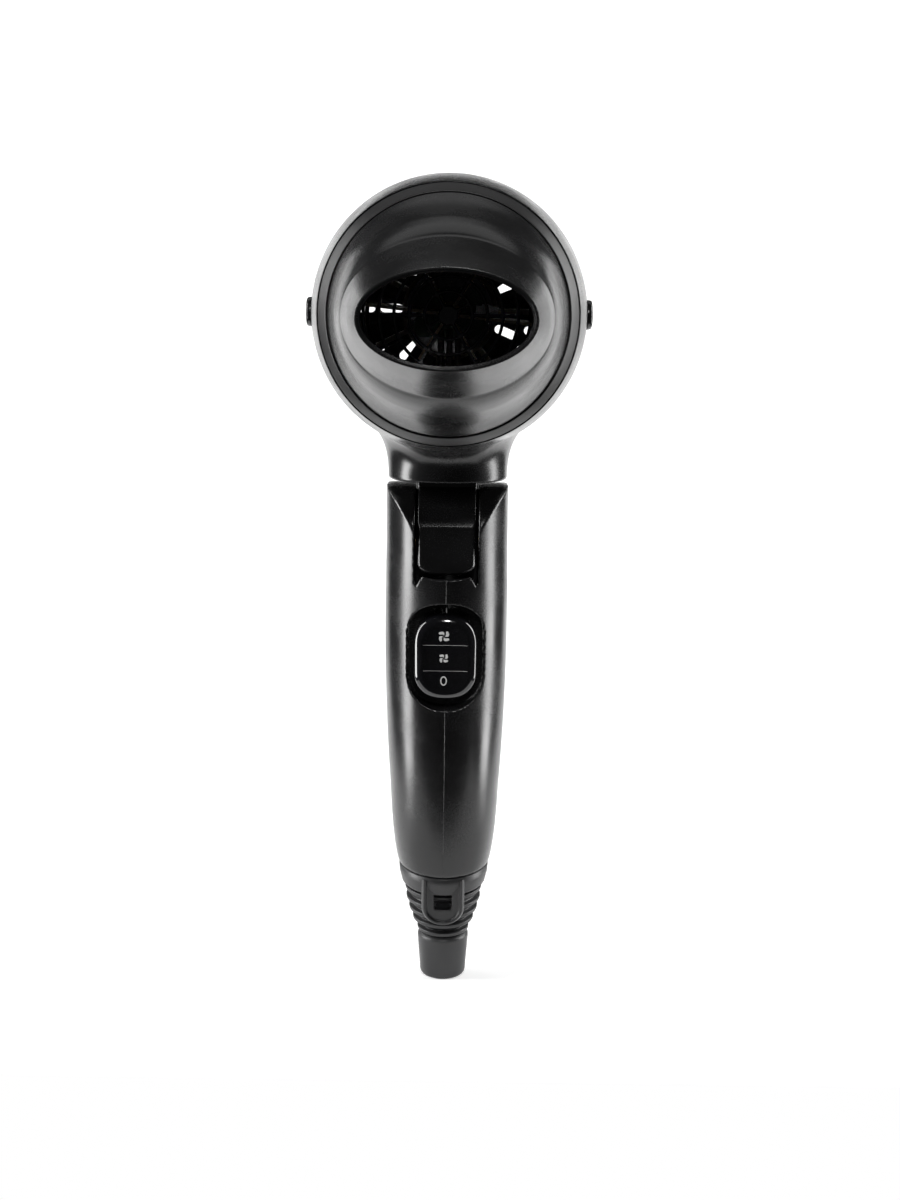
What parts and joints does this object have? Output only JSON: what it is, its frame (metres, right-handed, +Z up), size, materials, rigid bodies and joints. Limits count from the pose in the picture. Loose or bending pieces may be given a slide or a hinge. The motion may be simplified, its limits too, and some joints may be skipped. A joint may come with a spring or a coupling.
{
  "type": "hair dryer",
  "caption": "Compact hair dryer with a folding handle, a slotted concentrator nozzle, a rocker switch and a strain relief with a hanging loop.",
  "frame": {"origin": "middle of the hand grip, on the handle's own axis", "axes": "+Z up with the handle hanging below the barrel, -Y the way the air blows along the barrel axis, +X to the right seen from the nozzle"},
  "size_m": [0.0776, 0.1523, 0.2343],
  "materials": {
    "satin_black": "fine spark-eroded grain, satin",
    "gloss_black": "polished",
    "grille_black": "moulded, glossy, heat resistant",
    "cover_black": "moulded satin",
    "switch_black": "polished with white printed marks",
    "soft_black": "flexible moulded sheath",
    "mica": "pressed mica board",
    "nichrome": "oxidised resistance wire",
    "steel": "plated screw steel",
    "zinc_can": "zinc plated motor can",
    "bronze": "sintered bronze and brass",
    "copper": "lacquered copper winding on laminations",
    "board_green": "circuit board",
    "heat_white": "heat resistant moulding",
    "fan_grey": "moulded",
    "lead_grey": "silicone insulated leads"
  },
  "bodies": {
    "head": {"barrel_housing": "satin_black", "side_cap_left": "gloss_black", "side_cap_right": "gloss_black", "inlet_cover": "cover_black", "inlet_screws": "steel", "front_ring": "gloss_black", "outlet_grille": "grille_black", "mica_sleeve": "mica", "mica_boards": "mica", "heating_coil": "nichrome", "thermostat": "steel", "thermal_fuse": "steel", "motor_mount": "heat_white", "motor_can": "zinc_can", "motor_end_cap": "gloss_black", "rear_bush": "bronze", "front_bush": "bronze", "rectifier_board": "board_green", "head_leads": "lead_grey"},
    "concentrator": {"concentrator": "satin_black"},
    "fan": {"fan_impeller": "fan_grey", "motor_shaft": "steel", "armature": "copper"},
    "handle": {"handle_shell_left": "satin_black", "handle_shell_right": "satin_black", "handle_screws": "steel", "hinge_pin": "steel", "hinge_washers": "bronze", "cord_clamp": "fan_grey", "clamp_screws": "steel", "switch_body": "fan_grey", "switch_terminals": "bronze", "strain_relief": "soft_black", "handle_leads": "lead_grey"},
    "rocker": {"switch_rocker": "switch_black"}
  },
  "joints": [
    {"name": "handle_fold", "type": "hinge", "parent": "handle", "child": "head", "pos_m": [0, -0.00696, 0.04951], "axis": [1, 0, 0], "range_deg": [0, 90]},
    {"name": "nozzle_swivel", "type": "hinge", "parent": "head", "child": "concentrator", "pos_m": [0, -0.05696, 0.11401], "axis": [0, 1, 0], "continuous": true},
    {"name": "fan_spin", "type": "hinge", "parent": "head", "child": "fan", "pos_m": [0, -0.00696, 0.11401], "axis": [0, 1, 0], "continuous": true},
    {"name": "switch_rock", "type": "hinge", "parent": "handle", "child": "rocker", "pos_m": [0, -0.01531, 0.01986], "axis": [1, 0, 0], "range_deg": [-7, 7]}
  ]
}
